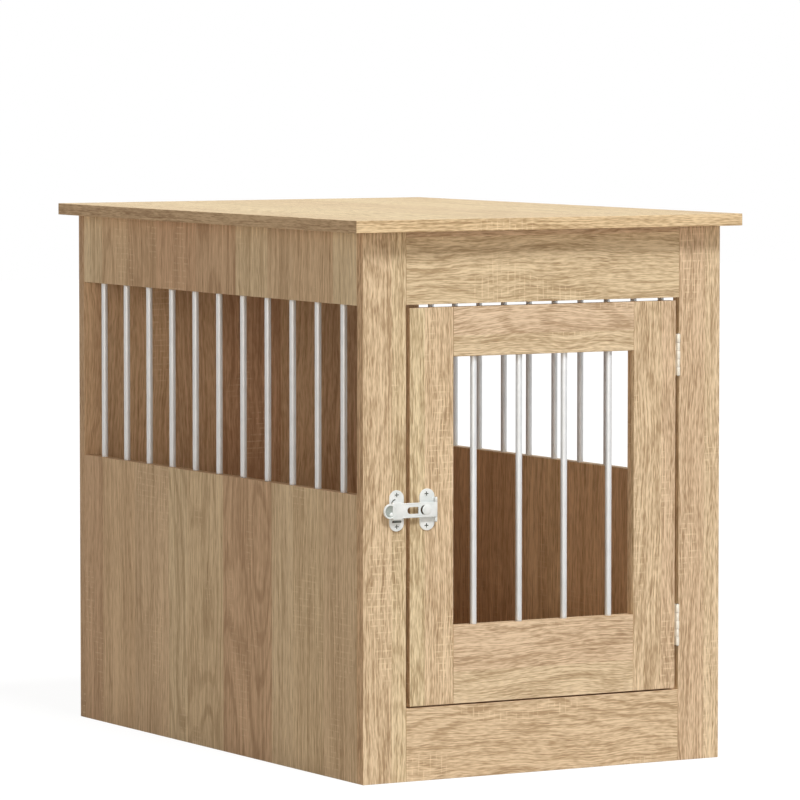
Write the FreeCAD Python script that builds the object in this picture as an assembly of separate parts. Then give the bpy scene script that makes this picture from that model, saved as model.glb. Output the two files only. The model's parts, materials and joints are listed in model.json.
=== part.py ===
# Side table with a dog crate inside: a boarded body with barred side openings, a barred front
# door on two butt hinges, and a flip latch that snaps over a catch on the left stile.
# Millimetres. +Z is up, the front faces -Y and +X is the right side seen from the front.
# The origin lies on the floor, under the middle of the table top.
import FreeCAD, Part
import os

V = FreeCAD.Vector

# Boards of the body
top_width = 550.0
top_depth = 800.0
total_height = 680.0
board = 15.0                # thickness of every board
top_overhang = 20.0         # how far the table top stands out past the body, all round
stile_width = 60.0          # upright of the front frame
top_rail_height = 88.0      # front top rail, and the side panels above the bars
bottom_rail_height = 89.0
side_lower_height = 349.0   # side panels below the bars
floor_lift = 10.0           # underside of the floor panel above the ground
floor_gap = 1.0             # floor panel to the front and back boards

# Door
door_side_gap = 5.0
door_top_gap = 4.0
door_bottom_gap = 2.0
door_stile_width = 61.0
door_top_rail_height = 60.0
door_bottom_rail_height = 95.0

# Bars
bar_radius = 4.0
bar_seat = 10.0             # how deep each end sits in its drilled hole
bar_end_gap = 0.4           # bar end to the bottom of its hole
bar_fit = 0.05              # radial clearance of a bar in its hole
side_bar_count = 11
side_bar_pitch = 64.0
door_bar_count = 4
door_bar_pitch = 64.5

# Dowels, glued into blind holes
dowel_radius = 4.0
dowel_face_depth = 10.0     # length in the board that is met on its face
dowel_edge_depth = 20.0     # length in the board that is met on its edge
dowel_fit = 0.05
dowel_end_gap = 0.6
rail_dowel_inset = 18.0     # first and last dowel of a rail end from the rail's edges

# Cam fittings: a bolt in one board, pulled by a turning disc in the next one
cam_radius = 7.4
cam_depth = 12.0
cam_fit = 0.1
cam_setback = 34.0          # disc centre behind the board's end
cam_bolt_radius = 3.0
cam_bolt_neck_radius = 1.9
cam_bolt_neck_length = 3.0
cam_bolt_head_length = 2.0
cam_bolt_grip = 11.0        # bolt length in the board that is met on its face
cam_bolt_clearance = 0.4    # radial, in the drilled edge and inside the disc

# Where the fixings sit along the boards
side_lower_dowels_z = (110.0, 240.0)
side_lower_cams_z = (50.0, 295.0)
side_top_dowel_from_top = 62.0
side_top_cam_from_top = 28.0
top_cam_y = 235.0           # cams under the table top, front and back of the middle
top_dowel_y = 290.0
top_rail_dowel_x = 120.0    # dowels from the front top rail and the back into the table top
floor_dowel_y = (-240.0, 0.0, 240.0)

# Butt hinges
hinge_length = 51.0
hinge_top_inset = 67.0      # door's top edge to the middle of the upper hinge
hinge_bottom_inset = 79.0   # door's bottom edge to the middle of the lower hinge
hinge_knuckles = 5
knuckle_gap = 0.25          # between neighbouring knuckles
leaf_thickness = 1.2
leaf_depth = 14.0           # how far a leaf reaches back from the pin
hinge_pin_radius = 1.2
hinge_pin_fit = 0.05
hinge_pin_proud = 2.0       # pin axis in front of the door's face
hinge_pin_head_radius = 1.9
hinge_pin_head_length = 0.8
knuckle_turn_gap = 0.3      # cut in a leaf round the other leaf's knuckles
hinge_screw_spread = 30.0   # between the two screws of a leaf
hinge_screw_back = 8.0      # screws behind the pin axis

# Screws
screw_radius = 1.4
screw_length = 12.0
screw_head_radius = 3.0
screw_fit = 0.05
recess_width = 0.7
recess_length = 3.4
recess_depth = 0.9

# Latch
latch_z = 329.5
plate_thickness = 1.2
plate_height = 51.0
stile_plate_width = 20.0
door_plate_width = 18.0
stile_plate_inset = 14.0    # opening's edge to the middle of the stile's plate
door_plate_inset = 22.0     # door's edge to the middle of the door's plate
plate_screw_spread = 38.5
latch_pin_radius = 1.1
latch_pin_fit = 0.05
latch_barrel_radius = 2.3
latch_barrel_gap = 0.7      # barrel to the door's face
latch_ear_reach = 3.5       # door plate's edge to the pin axis
latch_ear_gap = 0.4         # between an ear and the arm's barrel
latch_ear_height = 8.0
latch_pin_head_radius = 1.8
latch_pin_head_length = 0.7
arm_thickness = 1.2
arm_height = 18.2
arm_slot_height = 8.3
arm_slot_length = 15.4
arm_slot_from_pin = 23.2    # pin axis to the slot's square end
dome_radius = 7.2
dome_height = 1.0
dome_from_pin = 9.5
crescent_outer_radius = 5.5
crescent_inner_radius = 7.6
crescent_shift = 5.1        # how far the crescent's outer circle lies from the dome's centre
clasp_width = 12.0
clasp_height = 24.0
clasp_raise = 1.5           # clasp in front of the arm
clasp_chamfer = 0.7
pocket_width = 9.0
pocket_height = 16.0
pocket_depth = 1.6
catch_fit = 0.5             # catch to the pocket's walls and bottom
tab_radius = 9.0
tab_rise = 2.9
tab_dish_radius = 7.5
tab_dish_depth = 1.7
tab_from_clasp = 5.6        # clasp's left edge to the tab's centre
plate_slot_length = 12.0    # pressed slot in the stile's plate, below the clasp
plate_slot_height = 2.6

# Worked out from the sizes above
body_half_x = top_width / 2 - top_overhang
body_half_y = top_depth / 2 - top_overhang
body_top = total_height - board
inner_x = body_half_x - board
inner_y = body_half_y - board
side_mid_x = body_half_x - board / 2
front = -body_half_y
front_mid_y = front + board / 2
opening_half = body_half_x - stile_width
top_rail_z = body_top - top_rail_height
door_half = opening_half - door_side_gap
door_low = bottom_rail_height + door_bottom_gap
door_high = top_rail_z - door_top_gap
window_half = door_half - door_stile_width
window_low = door_low + door_bottom_rail_height
window_high = door_high - door_top_rail_height
hinge_x = (opening_half + door_half) / 2
hinge_y = front - hinge_pin_proud
knuckle_radius = door_side_gap / 2
stile_plate_x = -opening_half - stile_plate_inset
door_plate_x = -door_half + door_plate_inset
latch_pin_x = door_plate_x + door_plate_width / 2 + latch_ear_reach
latch_pin_y = front - latch_barrel_gap - latch_barrel_radius
arm_back = latch_pin_y - latch_barrel_radius + arm_thickness
arm_front = arm_back - arm_thickness
plate_front = front - plate_thickness

nodes = {}
holes = []                  # every drilled hole, cut from the boards that it reaches


def block(low_x, high_x, low_y, high_y, low_z, high_z):
    return Part.makeBox(high_x - low_x, high_y - low_y, high_z - low_z, V(low_x, low_y, low_z))


def rod(radius, start, end):
    run = end.sub(start)
    return Part.makeCylinder(radius, run.Length, start, run)


def ring(outer, inner, x, y, low_z, high_z):
    tube = rod(outer, V(x, y, low_z), V(x, y, high_z))
    return tube.cut(rod(inner, V(x, y, low_z - 1), V(x, y, high_z + 1)))


def drilled(board_solid):
    for hole in holes:
        if hole.BoundBox.intersect(board_solid.BoundBox):
            board_solid = board_solid.cut(hole)
    return board_solid


def group(name, solids):
    nodes[name] = Part.makeCompound(solids)


# A dowel crosses the plane between two boards at a point of it. Towards points from the
# board that is met on its face into the board that is met on its edge.
def dowel(point, towards):
    start = point.sub(V(towards) * dowel_face_depth)
    end = point.add(V(towards) * dowel_edge_depth)
    hole_start = start.sub(V(towards) * dowel_end_gap)
    hole_end = end.add(V(towards) * dowel_end_gap)
    holes.append(rod(dowel_radius + dowel_fit, hole_start, hole_end))
    return rod(dowel_radius, start, end)


# A cam bolt crosses the plane in the same way and ends inside its disc. Inwards points from
# the board's middle to the face that the disc is pressed into.
def cam(point, towards, inwards):
    centre = point.add(V(towards) * cam_setback)
    face = centre.add(V(inwards) * (board / 2))
    back = face.sub(V(inwards) * cam_depth)
    start = point.sub(V(towards) * cam_bolt_grip)
    head_end = centre.add(V(towards) * cam_bolt_head_length)
    neck_end = centre
    neck_start = neck_end.sub(V(towards) * cam_bolt_neck_length)
    bolt = rod(cam_bolt_radius, start, neck_start)
    bolt = bolt.fuse(rod(cam_bolt_neck_radius, neck_start, neck_end))
    bolt = bolt.fuse(rod(cam_bolt_radius, neck_end, head_end))
    passage_end = head_end.add(V(towards) * cam_bolt_clearance)
    passage = rod(cam_bolt_radius + cam_bolt_clearance, point, passage_end)
    disc = rod(cam_radius, back, face).cut(passage)
    disc = disc.cut(cross_recess(face, V(inwards) * -1, recess_length * 2, recess_width * 2))
    holes.append(rod(cam_radius + cam_fit, back.sub(V(inwards) * cam_fit), face))
    holes.append(rod(cam_bolt_radius + cam_bolt_clearance, point, centre))
    holes.append(rod(cam_bolt_radius + dowel_fit, start.sub(V(towards) * dowel_end_gap), point))
    return bolt, disc


# Two crossed slots pressed into a face at a point, going into the metal along inwards
def cross_recess(point, inwards, length, width):
    recess = None
    for size_x, size_y in ((length, width), (width, length)):
        slot = block(-size_x / 2, size_x / 2, -size_y / 2, size_y / 2, -1, recess_depth)
        recess = slot if recess is None else recess.fuse(slot)
    recess.Placement = FreeCAD.Placement(point, FreeCAD.Rotation(V(0, 0, 1), inwards))
    return recess


# A countersunk screw whose head lies flush in a plate's face at a point
def screw(point, inwards, plate):
    def cone(extra):
        return Part.makeCone(screw_head_radius + extra, screw_radius + extra, plate, point, inwards)

    tip = point.add(V(inwards) * screw_length)
    solid = cone(0).fuse(rod(screw_radius, point, tip))
    solid = solid.cut(cross_recess(point, inwards, recess_length, recess_width))
    hole_tip = tip.add(V(inwards) * dowel_end_gap)
    seat = cone(screw_fit).fuse(rod(screw_radius + screw_fit, point, hole_tip))
    holes.append(rod(screw_radius + screw_fit, point.add(V(inwards) * plate), hole_tip))
    return solid, seat


# Fixings between the boards of the body
def body_fixings():
    dowels = []
    bolts = []
    discs = []
    for side in (-1, 1):
        for end in (-1, 1):
            x = side * side_mid_x
            y = end * inner_y
            towards = V(0, -end, 0)
            inwards = V(-side, 0, 0)
            dowel_zs = list(side_lower_dowels_z) + [body_top - side_top_dowel_from_top]
            cam_zs = list(side_lower_cams_z) + [body_top - side_top_cam_from_top]
            for z in dowel_zs:
                dowels.append(dowel(V(x, y, z), towards))
            points = [(V(x, y, z), towards) for z in cam_zs]
            points.append((V(x, end * top_cam_y, body_top), V(0, 0, -1)))
            for point, direction in points:
                bolt, disc = cam(point, direction, inwards)
                bolts.append(bolt)
                discs.append(disc)
            dowels.append(dowel(V(x, end * top_dowel_y, body_top), V(0, 0, -1)))
            back_or_front_y = end * (body_half_y - board / 2)
            dowels.append(dowel(V(side * top_rail_dowel_x, back_or_front_y, body_top), V(0, 0, -1)))
        for y in floor_dowel_y:
            z = floor_lift + board / 2
            dowels.append(dowel(V(side * inner_x, y, z), V(-side, 0, 0)))
        rails = ((0, bottom_rail_height), (top_rail_z, body_top))
        dowels += rail_dowels(side, opening_half, rails)
    group("frame_dowels", dowels)
    group("cam_bolts", bolts)
    group("cam_discs", discs)


# Two dowels in each rail end, between a stile's edge and the rail
def rail_dowels(side, plane_x, rails):
    pegs = []
    for low, high in rails:
        for z in (low + rail_dowel_inset, high - rail_dowel_inset):
            pegs.append(dowel(V(side * plane_x, front_mid_y, z), V(-side, 0, 0)))
    return pegs


# One row of upright bars; each end sits in a blind hole
def bars(prefix, count, pitch, place, low, high):
    for i in range(count):
        along = (i - (count - 1) / 2) * pitch
        foot = place(along)
        start = V(foot.x, foot.y, low - bar_seat)
        end = V(foot.x, foot.y, high + bar_seat)
        gap = V(0, 0, bar_end_gap)
        holes.append(rod(bar_radius + bar_fit, start.sub(gap), end.add(gap)))
        nodes["%s_%02d" % (prefix, i + 1)] = rod(bar_radius, start, end)


def all_bars():
    for side, word in ((-1, "left"), (1, "right")):
        bars(word + "_bar", side_bar_count, side_bar_pitch,
             lambda along: V(side * side_mid_x, along, 0), side_lower_height, top_rail_z)
    bars("door_bar", door_bar_count, door_bar_pitch,
         lambda along: V(along, front_mid_y, 0), window_low, window_high)


# A hinge leaf lies in the door's side gap and is rolled into every second knuckle
def hinge_leaf(side, middle_z, seats):
    low = middle_z - hinge_length / 2
    high = middle_z + hinge_length / 2
    outer_x = hinge_x + side * knuckle_radius
    inner_leaf_x = outer_x - side * leaf_thickness
    strip = block(min(outer_x, inner_leaf_x), max(outer_x, inner_leaf_x),
                  hinge_y, hinge_y + leaf_depth, low, high)
    pitch = hinge_length / hinge_knuckles
    for i in range(hinge_knuckles):
        start = low + i * pitch
        end = start + pitch
        if (i % 2 == 0) == (side > 0):
            strip = strip.fuse(rod(knuckle_radius, V(hinge_x, hinge_y, start + knuckle_gap / 2),
                                   V(hinge_x, hinge_y, end - knuckle_gap / 2)))
        else:
            strip = strip.cut(rod(knuckle_radius + knuckle_turn_gap,
                                  V(hinge_x, hinge_y, start - knuckle_gap / 2),
                                  V(hinge_x, hinge_y, end + knuckle_gap / 2)))
    bore = rod(hinge_pin_radius + hinge_pin_fit,
               V(hinge_x, hinge_y, low - 1), V(hinge_x, hinge_y, high + 1))
    strip = strip.cut(bore)
    for seat in seats:
        strip = strip.cut(seat)
    return strip.removeSplitter()


def hinge_pin(middle_z):
    half = hinge_length / 2 + hinge_pin_fit
    pin = rod(hinge_pin_radius, V(hinge_x, hinge_y, middle_z - half),
              V(hinge_x, hinge_y, middle_z + half))
    for way in (-1, 1):
        start = V(hinge_x, hinge_y, middle_z + way * half)
        end = V(hinge_x, hinge_y, middle_z + way * (half + hinge_pin_head_length))
        pin = pin.fuse(rod(hinge_pin_head_radius, start, end))
    return pin


def hinges():
    frame_screws = []
    door_screws = []
    middles = (("lower", door_low + hinge_bottom_inset), ("upper", door_high - hinge_top_inset))
    for word, middle_z in middles:
        for side, solids, leaf_name in ((1, frame_screws, "frame_leaf"), (-1, door_screws, "door_leaf")):
            seats = []
            for way in (-1, 1):
                face_x = hinge_x + side * (knuckle_radius - leaf_thickness)
                point = V(face_x, hinge_y + hinge_screw_back, middle_z + way * hinge_screw_spread / 2)
                solid, seat = screw(point, V(side, 0, 0), leaf_thickness)
                solids.append(solid)
                seats.append(seat)
            nodes["hinge_%s_%s" % (word, leaf_name)] = hinge_leaf(side, middle_z, seats)
        nodes["hinge_%s_pin" % word] = hinge_pin(middle_z)
    group("hinge_screws_frame", frame_screws)
    group("hinge_screws_door", door_screws)


# A pressed plate with round ends, flat on the boards' front face
def round_ended_plate(x, width):
    radius = width / 2
    reach = plate_height / 2 - radius
    plate = block(x - radius, x + radius, plate_front, front, latch_z - reach, latch_z + reach)
    for way in (-1, 1):
        z = latch_z + way * reach
        plate = plate.fuse(rod(radius, V(x, plate_front, z), V(x, front, z)))
    return plate.removeSplitter()


def plate_screws(name, x):
    solids = []
    seats = []
    for way in (-1, 1):
        point = V(x, plate_front, latch_z + way * plate_screw_spread / 2)
        solid, seat = screw(point, V(0, 1, 0), plate_thickness)
        solids.append(solid)
        seats.append(seat)
    group(name, solids)
    return seats


# The stile's plate carries the catch that the arm's clasp snaps over
def latch_stile_plate():
    plate = round_ended_plate(stile_plate_x, stile_plate_width)
    half_width = pocket_width / 2 - catch_fit
    half_height = pocket_height / 2 - catch_fit
    catch_front = arm_back - pocket_depth + catch_fit
    plate = plate.fuse(block(stile_plate_x - half_width, stile_plate_x + half_width,
                             catch_front, plate_front, latch_z - half_height, latch_z + half_height))
    slot_high = latch_z - clasp_height / 2
    half_slot = plate_slot_length / 2
    plate = plate.cut(block(stile_plate_x - half_slot, stile_plate_x + half_slot,
                            plate_front - 1, front + 1, slot_high - plate_slot_height, slot_high))
    for seat in plate_screws("latch_screws_stile", stile_plate_x):
        plate = plate.cut(seat)
    nodes["latch_stile_plate"] = plate.removeSplitter()


# The door's plate carries two ears that hold the latch pin
def latch_door_plate():
    plate = round_ended_plate(door_plate_x, door_plate_width)
    for way in (-1, 1):
        near = latch_z + way * (arm_height / 2 + latch_ear_gap)
        far = near + way * latch_ear_height
        low, high = min(near, far), max(near, far)
        plate = plate.fuse(block(door_plate_x, latch_pin_x, plate_front, front, low, high))
        plate = plate.fuse(rod(latch_barrel_radius, V(latch_pin_x, latch_pin_y, low),
                               V(latch_pin_x, latch_pin_y, high)))
    plate = plate.cut(latch_bore())
    for seat in plate_screws("latch_screws_door", door_plate_x):
        plate = plate.cut(seat)
    nodes["latch_door_plate"] = plate.removeSplitter()


def latch_bore():
    reach = plate_height / 2
    return rod(latch_pin_radius + latch_pin_fit, V(latch_pin_x, latch_pin_y, latch_z - reach),
               V(latch_pin_x, latch_pin_y, latch_z + reach))


def latch_pin():
    half = arm_height / 2 + latch_ear_gap + latch_ear_height + latch_pin_fit
    pin = rod(latch_pin_radius, V(latch_pin_x, latch_pin_y, latch_z - half),
              V(latch_pin_x, latch_pin_y, latch_z + half))
    for way in (-1, 1):
        start = V(latch_pin_x, latch_pin_y, latch_z + way * half)
        end = V(latch_pin_x, latch_pin_y, latch_z + way * (half + latch_pin_head_length))
        pin = pin.fuse(rod(latch_pin_head_radius, start, end))
    nodes["latch_pin"] = pin


# Upright disc through the arm's plane, used for its round cuts
def arm_disc(radius, x, near=None, far=None):
    start = arm_front - 1 if near is None else near
    end = arm_back + 1 if far is None else far
    return rod(radius, V(x, start, latch_z), V(x, end, latch_z))


# Part of a ball: base_radius wide where it meets a plane, and rise high or deep there
def ball_radius(base_radius, rise):
    return (base_radius ** 2 + rise ** 2) / (2 * rise)


def arm_clasp():
    half_width = clasp_width / 2
    half_height = clasp_height / 2
    clasp_front = arm_front - clasp_raise
    clasp = block(stile_plate_x - half_width, stile_plate_x + half_width,
                  clasp_front, arm_back, latch_z - half_height, latch_z + half_height)
    rim = [e for e in clasp.Edges if abs(e.BoundBox.YMax - clasp_front) < 0.01]
    clasp = clasp.makeChamfer(clasp_chamfer, rim)
    return clasp


def arm_tab():
    x = stile_plate_x - clasp_width / 2 - tab_from_clasp
    tab_front = arm_back - tab_rise
    tab = arm_disc(tab_radius, x, tab_front, arm_back)
    radius = ball_radius(tab_dish_radius, tab_dish_depth)
    dish = Part.makeSphere(radius, V(x, tab_front + tab_dish_depth - radius, latch_z))
    tab = tab.cut(dish)
    beyond = block(x + tab_from_clasp, x + tab_radius + 1, tab_front - 1, arm_back + 1,
                   latch_z - tab_radius - 1, latch_z + tab_radius + 1)
    return tab.cut(beyond)


def arm_dome():
    radius = ball_radius(dome_radius, dome_height)
    x = latch_pin_x - dome_from_pin
    ball = Part.makeSphere(radius, V(x, arm_front - dome_height + radius, latch_z))
    return ball.common(arm_disc(dome_radius, x, arm_front - dome_height - 1, arm_back))


def latch_arm():
    half = arm_height / 2
    arm = block(stile_plate_x, latch_pin_x, arm_front, arm_back, latch_z - half, latch_z + half)
    arm = arm.fuse(rod(latch_barrel_radius, V(latch_pin_x, latch_pin_y, latch_z - half),
                       V(latch_pin_x, latch_pin_y, latch_z + half)))
    arm = arm.fuse(arm_clasp()).fuse(arm_tab()).fuse(arm_dome())
    arm = arm.cut(latch_bore())

    dome_x = latch_pin_x - dome_from_pin
    crescent = arm_disc(crescent_outer_radius, dome_x - crescent_shift)
    crescent = crescent.cut(arm_disc(crescent_inner_radius, dome_x))
    arm = arm.cut(crescent)

    slot_right = latch_pin_x - arm_slot_from_pin
    slot_radius = arm_slot_height / 2
    slot_round_x = slot_right - arm_slot_length + slot_radius
    slot = block(slot_round_x, slot_right, arm_front - 1, arm_back + 1,
                 latch_z - slot_radius, latch_z + slot_radius)
    arm = arm.cut(slot.fuse(arm_disc(slot_radius, slot_round_x)))

    pocket = block(stile_plate_x - pocket_width / 2, stile_plate_x + pocket_width / 2,
                   arm_back - pocket_depth, arm_back + 1,
                   latch_z - pocket_height / 2, latch_z + pocket_height / 2)
    nodes["latch_arm"] = arm.cut(pocket).removeSplitter()


# The boards come last, because every fixing has added its holes by then
def body_boards():
    for side, word in ((-1, "left"), (1, "right")):
        low_x, high_x = sorted((side * opening_half, side * body_half_x))
        nodes["front_stile_" + word] = drilled(
            block(low_x, high_x, front, front + board, 0, body_top))
        low_x, high_x = sorted((side * inner_x, side * body_half_x))
        nodes["side_panel_lower_" + word] = drilled(
            block(low_x, high_x, -inner_y, inner_y, 0, side_lower_height))
        nodes["side_panel_upper_" + word] = drilled(
            block(low_x, high_x, -inner_y, inner_y, top_rail_z, body_top))
    for word, low, high in (("bottom", 0, bottom_rail_height), ("top", top_rail_z, body_top)):
        nodes["front_rail_" + word] = drilled(
            block(-opening_half, opening_half, front, front + board, low, high))
    nodes["back_panel"] = drilled(
        block(-body_half_x, body_half_x, inner_y, body_half_y, 0, body_top))
    nodes["floor_panel"] = drilled(
        block(-inner_x, inner_x, -inner_y + floor_gap, inner_y - floor_gap,
              floor_lift, floor_lift + board))
    nodes["table_top"] = drilled(
        block(-top_width / 2, top_width / 2, -top_depth / 2, top_depth / 2,
              body_top, total_height))


def door_boards():
    for side, word in ((-1, "left"), (1, "right")):
        low_x, high_x = sorted((side * window_half, side * door_half))
        nodes["door_stile_" + word] = drilled(
            block(low_x, high_x, front, front + board, door_low, door_high))
    for word, low, high in (("bottom", door_low, window_low), ("top", window_high, door_high)):
        nodes["door_rail_" + word] = drilled(
            block(-window_half, window_half, front, front + board, low, high))


def door_fixings():
    dowels = []
    rails = ((door_low, window_low), (window_high, door_high))
    for side in (-1, 1):
        dowels += rail_dowels(side, window_half, rails)
    group("door_dowels", dowels)


body_fixings()
door_fixings()
all_bars()
hinges()
latch_stile_plate()
latch_door_plate()
latch_pin()
latch_arm()
body_boards()
door_boards()

os.makedirs("parts", exist_ok=True)
for name, shape in nodes.items():
    shape.exportStep("parts/" + name + ".step")
print(len(nodes), "nodes")
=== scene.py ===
import json
import math
import random

import bmesh
import bpy
from mathutils import Matrix, Vector


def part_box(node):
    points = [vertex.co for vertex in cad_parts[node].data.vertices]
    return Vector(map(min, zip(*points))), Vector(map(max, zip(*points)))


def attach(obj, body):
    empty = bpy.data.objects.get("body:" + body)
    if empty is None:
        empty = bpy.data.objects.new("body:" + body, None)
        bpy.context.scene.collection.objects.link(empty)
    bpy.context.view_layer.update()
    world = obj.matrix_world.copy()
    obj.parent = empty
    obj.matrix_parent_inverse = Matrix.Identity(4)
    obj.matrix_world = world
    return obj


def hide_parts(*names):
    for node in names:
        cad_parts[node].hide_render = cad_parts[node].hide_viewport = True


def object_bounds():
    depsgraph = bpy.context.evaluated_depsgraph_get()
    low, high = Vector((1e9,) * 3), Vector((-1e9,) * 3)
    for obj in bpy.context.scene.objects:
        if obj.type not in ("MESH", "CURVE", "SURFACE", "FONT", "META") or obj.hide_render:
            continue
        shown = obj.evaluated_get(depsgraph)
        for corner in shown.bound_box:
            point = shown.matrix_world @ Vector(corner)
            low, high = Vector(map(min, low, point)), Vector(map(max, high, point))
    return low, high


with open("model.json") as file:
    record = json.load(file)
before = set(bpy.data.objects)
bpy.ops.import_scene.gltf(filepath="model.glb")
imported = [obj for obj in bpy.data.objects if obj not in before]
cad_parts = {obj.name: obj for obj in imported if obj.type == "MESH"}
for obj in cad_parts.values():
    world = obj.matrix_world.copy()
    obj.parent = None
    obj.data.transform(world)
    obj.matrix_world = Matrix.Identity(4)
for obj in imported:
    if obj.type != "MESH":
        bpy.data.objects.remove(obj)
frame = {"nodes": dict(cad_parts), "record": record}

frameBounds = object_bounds()
nodes = frame["nodes"]
boxes = {name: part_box(name) for name in nodes}
mm = 0.001
tiny = 0.001 * mm
past = 1 * mm  # how far a cutter stands out of what it cuts
axisNames = "xyz"
upwards = (0, 0, 1)
backwards = (0, 1, 0)


# Small helpers for node trees

def paint(red, green, blue):
    # an everyday 0-255 colour as the linear one that the shaders take
    def linear(level):
        level /= 255
        return level / 12.92 if level <= 0.04045 else ((level + 0.055) / 1.055) ** 2.4
    return (linear(red), linear(green), linear(blue), 1)


def feed(tree, node, inputs):
    # links the sockets and sets the plain values
    for key, value in inputs.items():
        if isinstance(value, bpy.types.NodeSocket):
            tree.links.new(value, node.inputs[key])
        else:
            node.inputs[key].default_value = value


def addNode(tree, kind, inputs=None, **settings):
    made = tree.nodes.new(kind)
    for key, value in settings.items():
        setattr(made, key, value)
    feed(tree, made, inputs or {})
    return made


def sums(tree, operation, first, second=0.5, third=0.5):
    made = addNode(tree, "ShaderNodeMath", {0: first, 1: second, 2: third}, operation=operation)
    return made.outputs[0]


def remap(tree, value, low, high, newLow=0.0, newHigh=1.0, smooth=True):
    ends = {"Value": value, "From Min": low, "From Max": high, "To Min": newLow, "To Max": newHigh}
    kind = "SMOOTHSTEP" if smooth else "LINEAR"
    return addNode(tree, "ShaderNodeMapRange", ends, interpolation_type=kind).outputs["Result"]


def mixColours(tree, share, first, second, blend="MIX"):
    # sockets 6 and 7 are the node's two colours
    made = addNode(tree, "ShaderNodeMix", {0: share, 6: first, 7: second}, data_type="RGBA",
                   blend_type=blend)
    return made.outputs[2]


def bumped(tree, height, strength, distance):
    made = addNode(tree, "ShaderNodeBump", {"Height": height, "Strength": strength, "Distance": distance})
    return made.outputs[0]


def noise(tree, vector, stretch, detail=2.0, rough=0.55, slide=(0, 0, 0)):
    # stretch is how many times per metre the noise repeats along each axis
    placed = addNode(tree, "ShaderNodeMapping", {"Vector": vector, "Scale": stretch, "Location": slide})
    made = addNode(tree, "ShaderNodeTexNoise",
                   {"Vector": placed.outputs[0], "Scale": 1.0, "Detail": detail, "Roughness": rough})
    return made.outputs["Fac"]


def emptyTree(owner):
    owner.use_nodes = True
    owner.node_tree.nodes.clear()
    return owner.node_tree


def startMaterial(name):
    material = bpy.data.materials.new(name)
    tree = emptyTree(material)
    shader = addNode(tree, "ShaderNodeBsdfPrincipled")
    addNode(tree, "ShaderNodeOutputMaterial", {"Surface": shader.outputs[0]})
    return material, tree, shader


def objectPlace(tree):
    return addNode(tree, "ShaderNodeTexCoord").outputs["Object"]


# Sawn oak print on the boards. The grain map gives metres along and across the grain.

def toneSet(*colours):
    return tuple(paint(*colour) for colour in colours)


oakPrint = {
    "stripWidth": 0.05,
    "stripTones": toneSet((213, 197, 161), (212, 188, 156), (223, 205, 173), (204, 178, 146),
                          (216, 192, 164)),
    "stripApart": 41.0,  # how far apart in the noise two strips' grain is taken
    "darkStreak": (0.61, 0.54, 0.47, 1),  # what a strip's tone is multiplied by
    "paleStreak": (1.20, 1.22, 1.24, 1),
    "streakEnds": (0.375, 0.585),  # the summed grain that is fully dark and fully pale
    "cloudShare": 0.10,  # how much the broad bands along the grain count
    "broadShare": 0.08,
    "hairlineShare": 0.38,
    "fleckAndCloudShare": 0.54,
    "grainSize": 1.0,
    "bend": 0.028,  # how far the grain wanders sideways, in metres
    "ripple": 0.0018,
    "ringCount": 17.0,
    "ringTurn": 6.283,
    "ringSway": 2.2,
    "ringEnds": (0.1, 1.0),
    "ringLuck": (0.2, 0.95),  # strips below the first are faint, above the second strong
    "ringDepth": (0.01, 0.055),  # from the faintest strip to the strongest
    "poreColour": paint(126, 96, 66),
    "poreEnds": (0.58, 0.7),
    "poreOffRing": 0.5,  # how many pores are left between the rings
    "poreShare": 0.5,
    "sawMarkColour": paint(243, 222, 187),
    "sawMarkSpacing": 0.0078,
    "sawMarkJitter": 10.0,
    "sawMarkEnds": (0.6, 1.0),
    "sawPatchEnds": (0.54, 0.62),
    "sawBreakEnds": (0.36, 0.62),
    "sawMarkShare": 0.41,
    "sawMarkLuck": (0.3, 0.5),  # strips below the first have none, above the second all
    "roughness": 0.58,
    "poreRoughness": 0.2,
    "streakRise": 0.35,
    "bump": (0.35, 0.00012),
    "specular": 0.15,
}

# each mark's repeats in a metre along and across the grain, its detail, its roughness and its slide
oakMarks = {
    "wander": (4.0, 8.0, 2.0, 0.55, (0, 0, 0)),
    "wave": (26.0, 50.0, 1.0, 0.5, (8, 3, 0)),
    "cloud": (2.0, 42.0, 2.0, 0.55, (0, 0, 0)),
    "broad": (9.0, 130.0, 1.0, 0.55, (0, 0, 0)),
    "hairline": (9.0, 500.0, 1.0, 0.5, (4, 0, 2)),
    "fleck": (85.0, 760.0, 1.0, 0.5, (9, 0, 5)),
    "ringHill": (2.2, 10.0, 1.0, 0.4, (3.1, 7.7, 0)),
    "pore": (45.0, 1000.0, 1.0, 0.5, (11, 5, 0)),
    "sawJitter": (40.0, 4.0, 1.0, 0.5, (0, 0, 9)),
    "sawPatch": (6.0, 17.0, 1.0, 0.5, (5, 0, 4)),
    "sawBreak": (140.0, 150.0, 1.0, 0.5, (2, 0, 6)),
}


def oakMark(tree, kind, vector, size=1.0):
    along, across, detail, rough, slide = oakMarks[kind]
    return noise(tree, vector, (along / size, across / size, 1.0), detail, rough, slide)


def makeStrips(tree, across, look):
    # strips side by side, each with its own tone and its own luck
    strips = addNode(tree, "ShaderNodeTexVoronoi", {"W": across, "Scale": 1 / look["stripWidth"]},
                     voronoi_dimensions="1D")
    luck = addNode(tree, "ShaderNodeSeparateColor", {0: strips.outputs["Color"]}).outputs
    ramp = addNode(tree, "ShaderNodeValToRGB", {"Fac": luck[0]})
    tones = look["stripTones"]
    while len(ramp.color_ramp.elements) < len(tones):
        ramp.color_ramp.elements.new(0.5)
    for place, (stop, tone) in enumerate(zip(ramp.color_ramp.elements, tones)):
        stop.position = place / (len(tones) - 1)
        stop.color = tone
    return ramp.outputs["Color"], luck[0], luck[1], luck[2]


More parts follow.
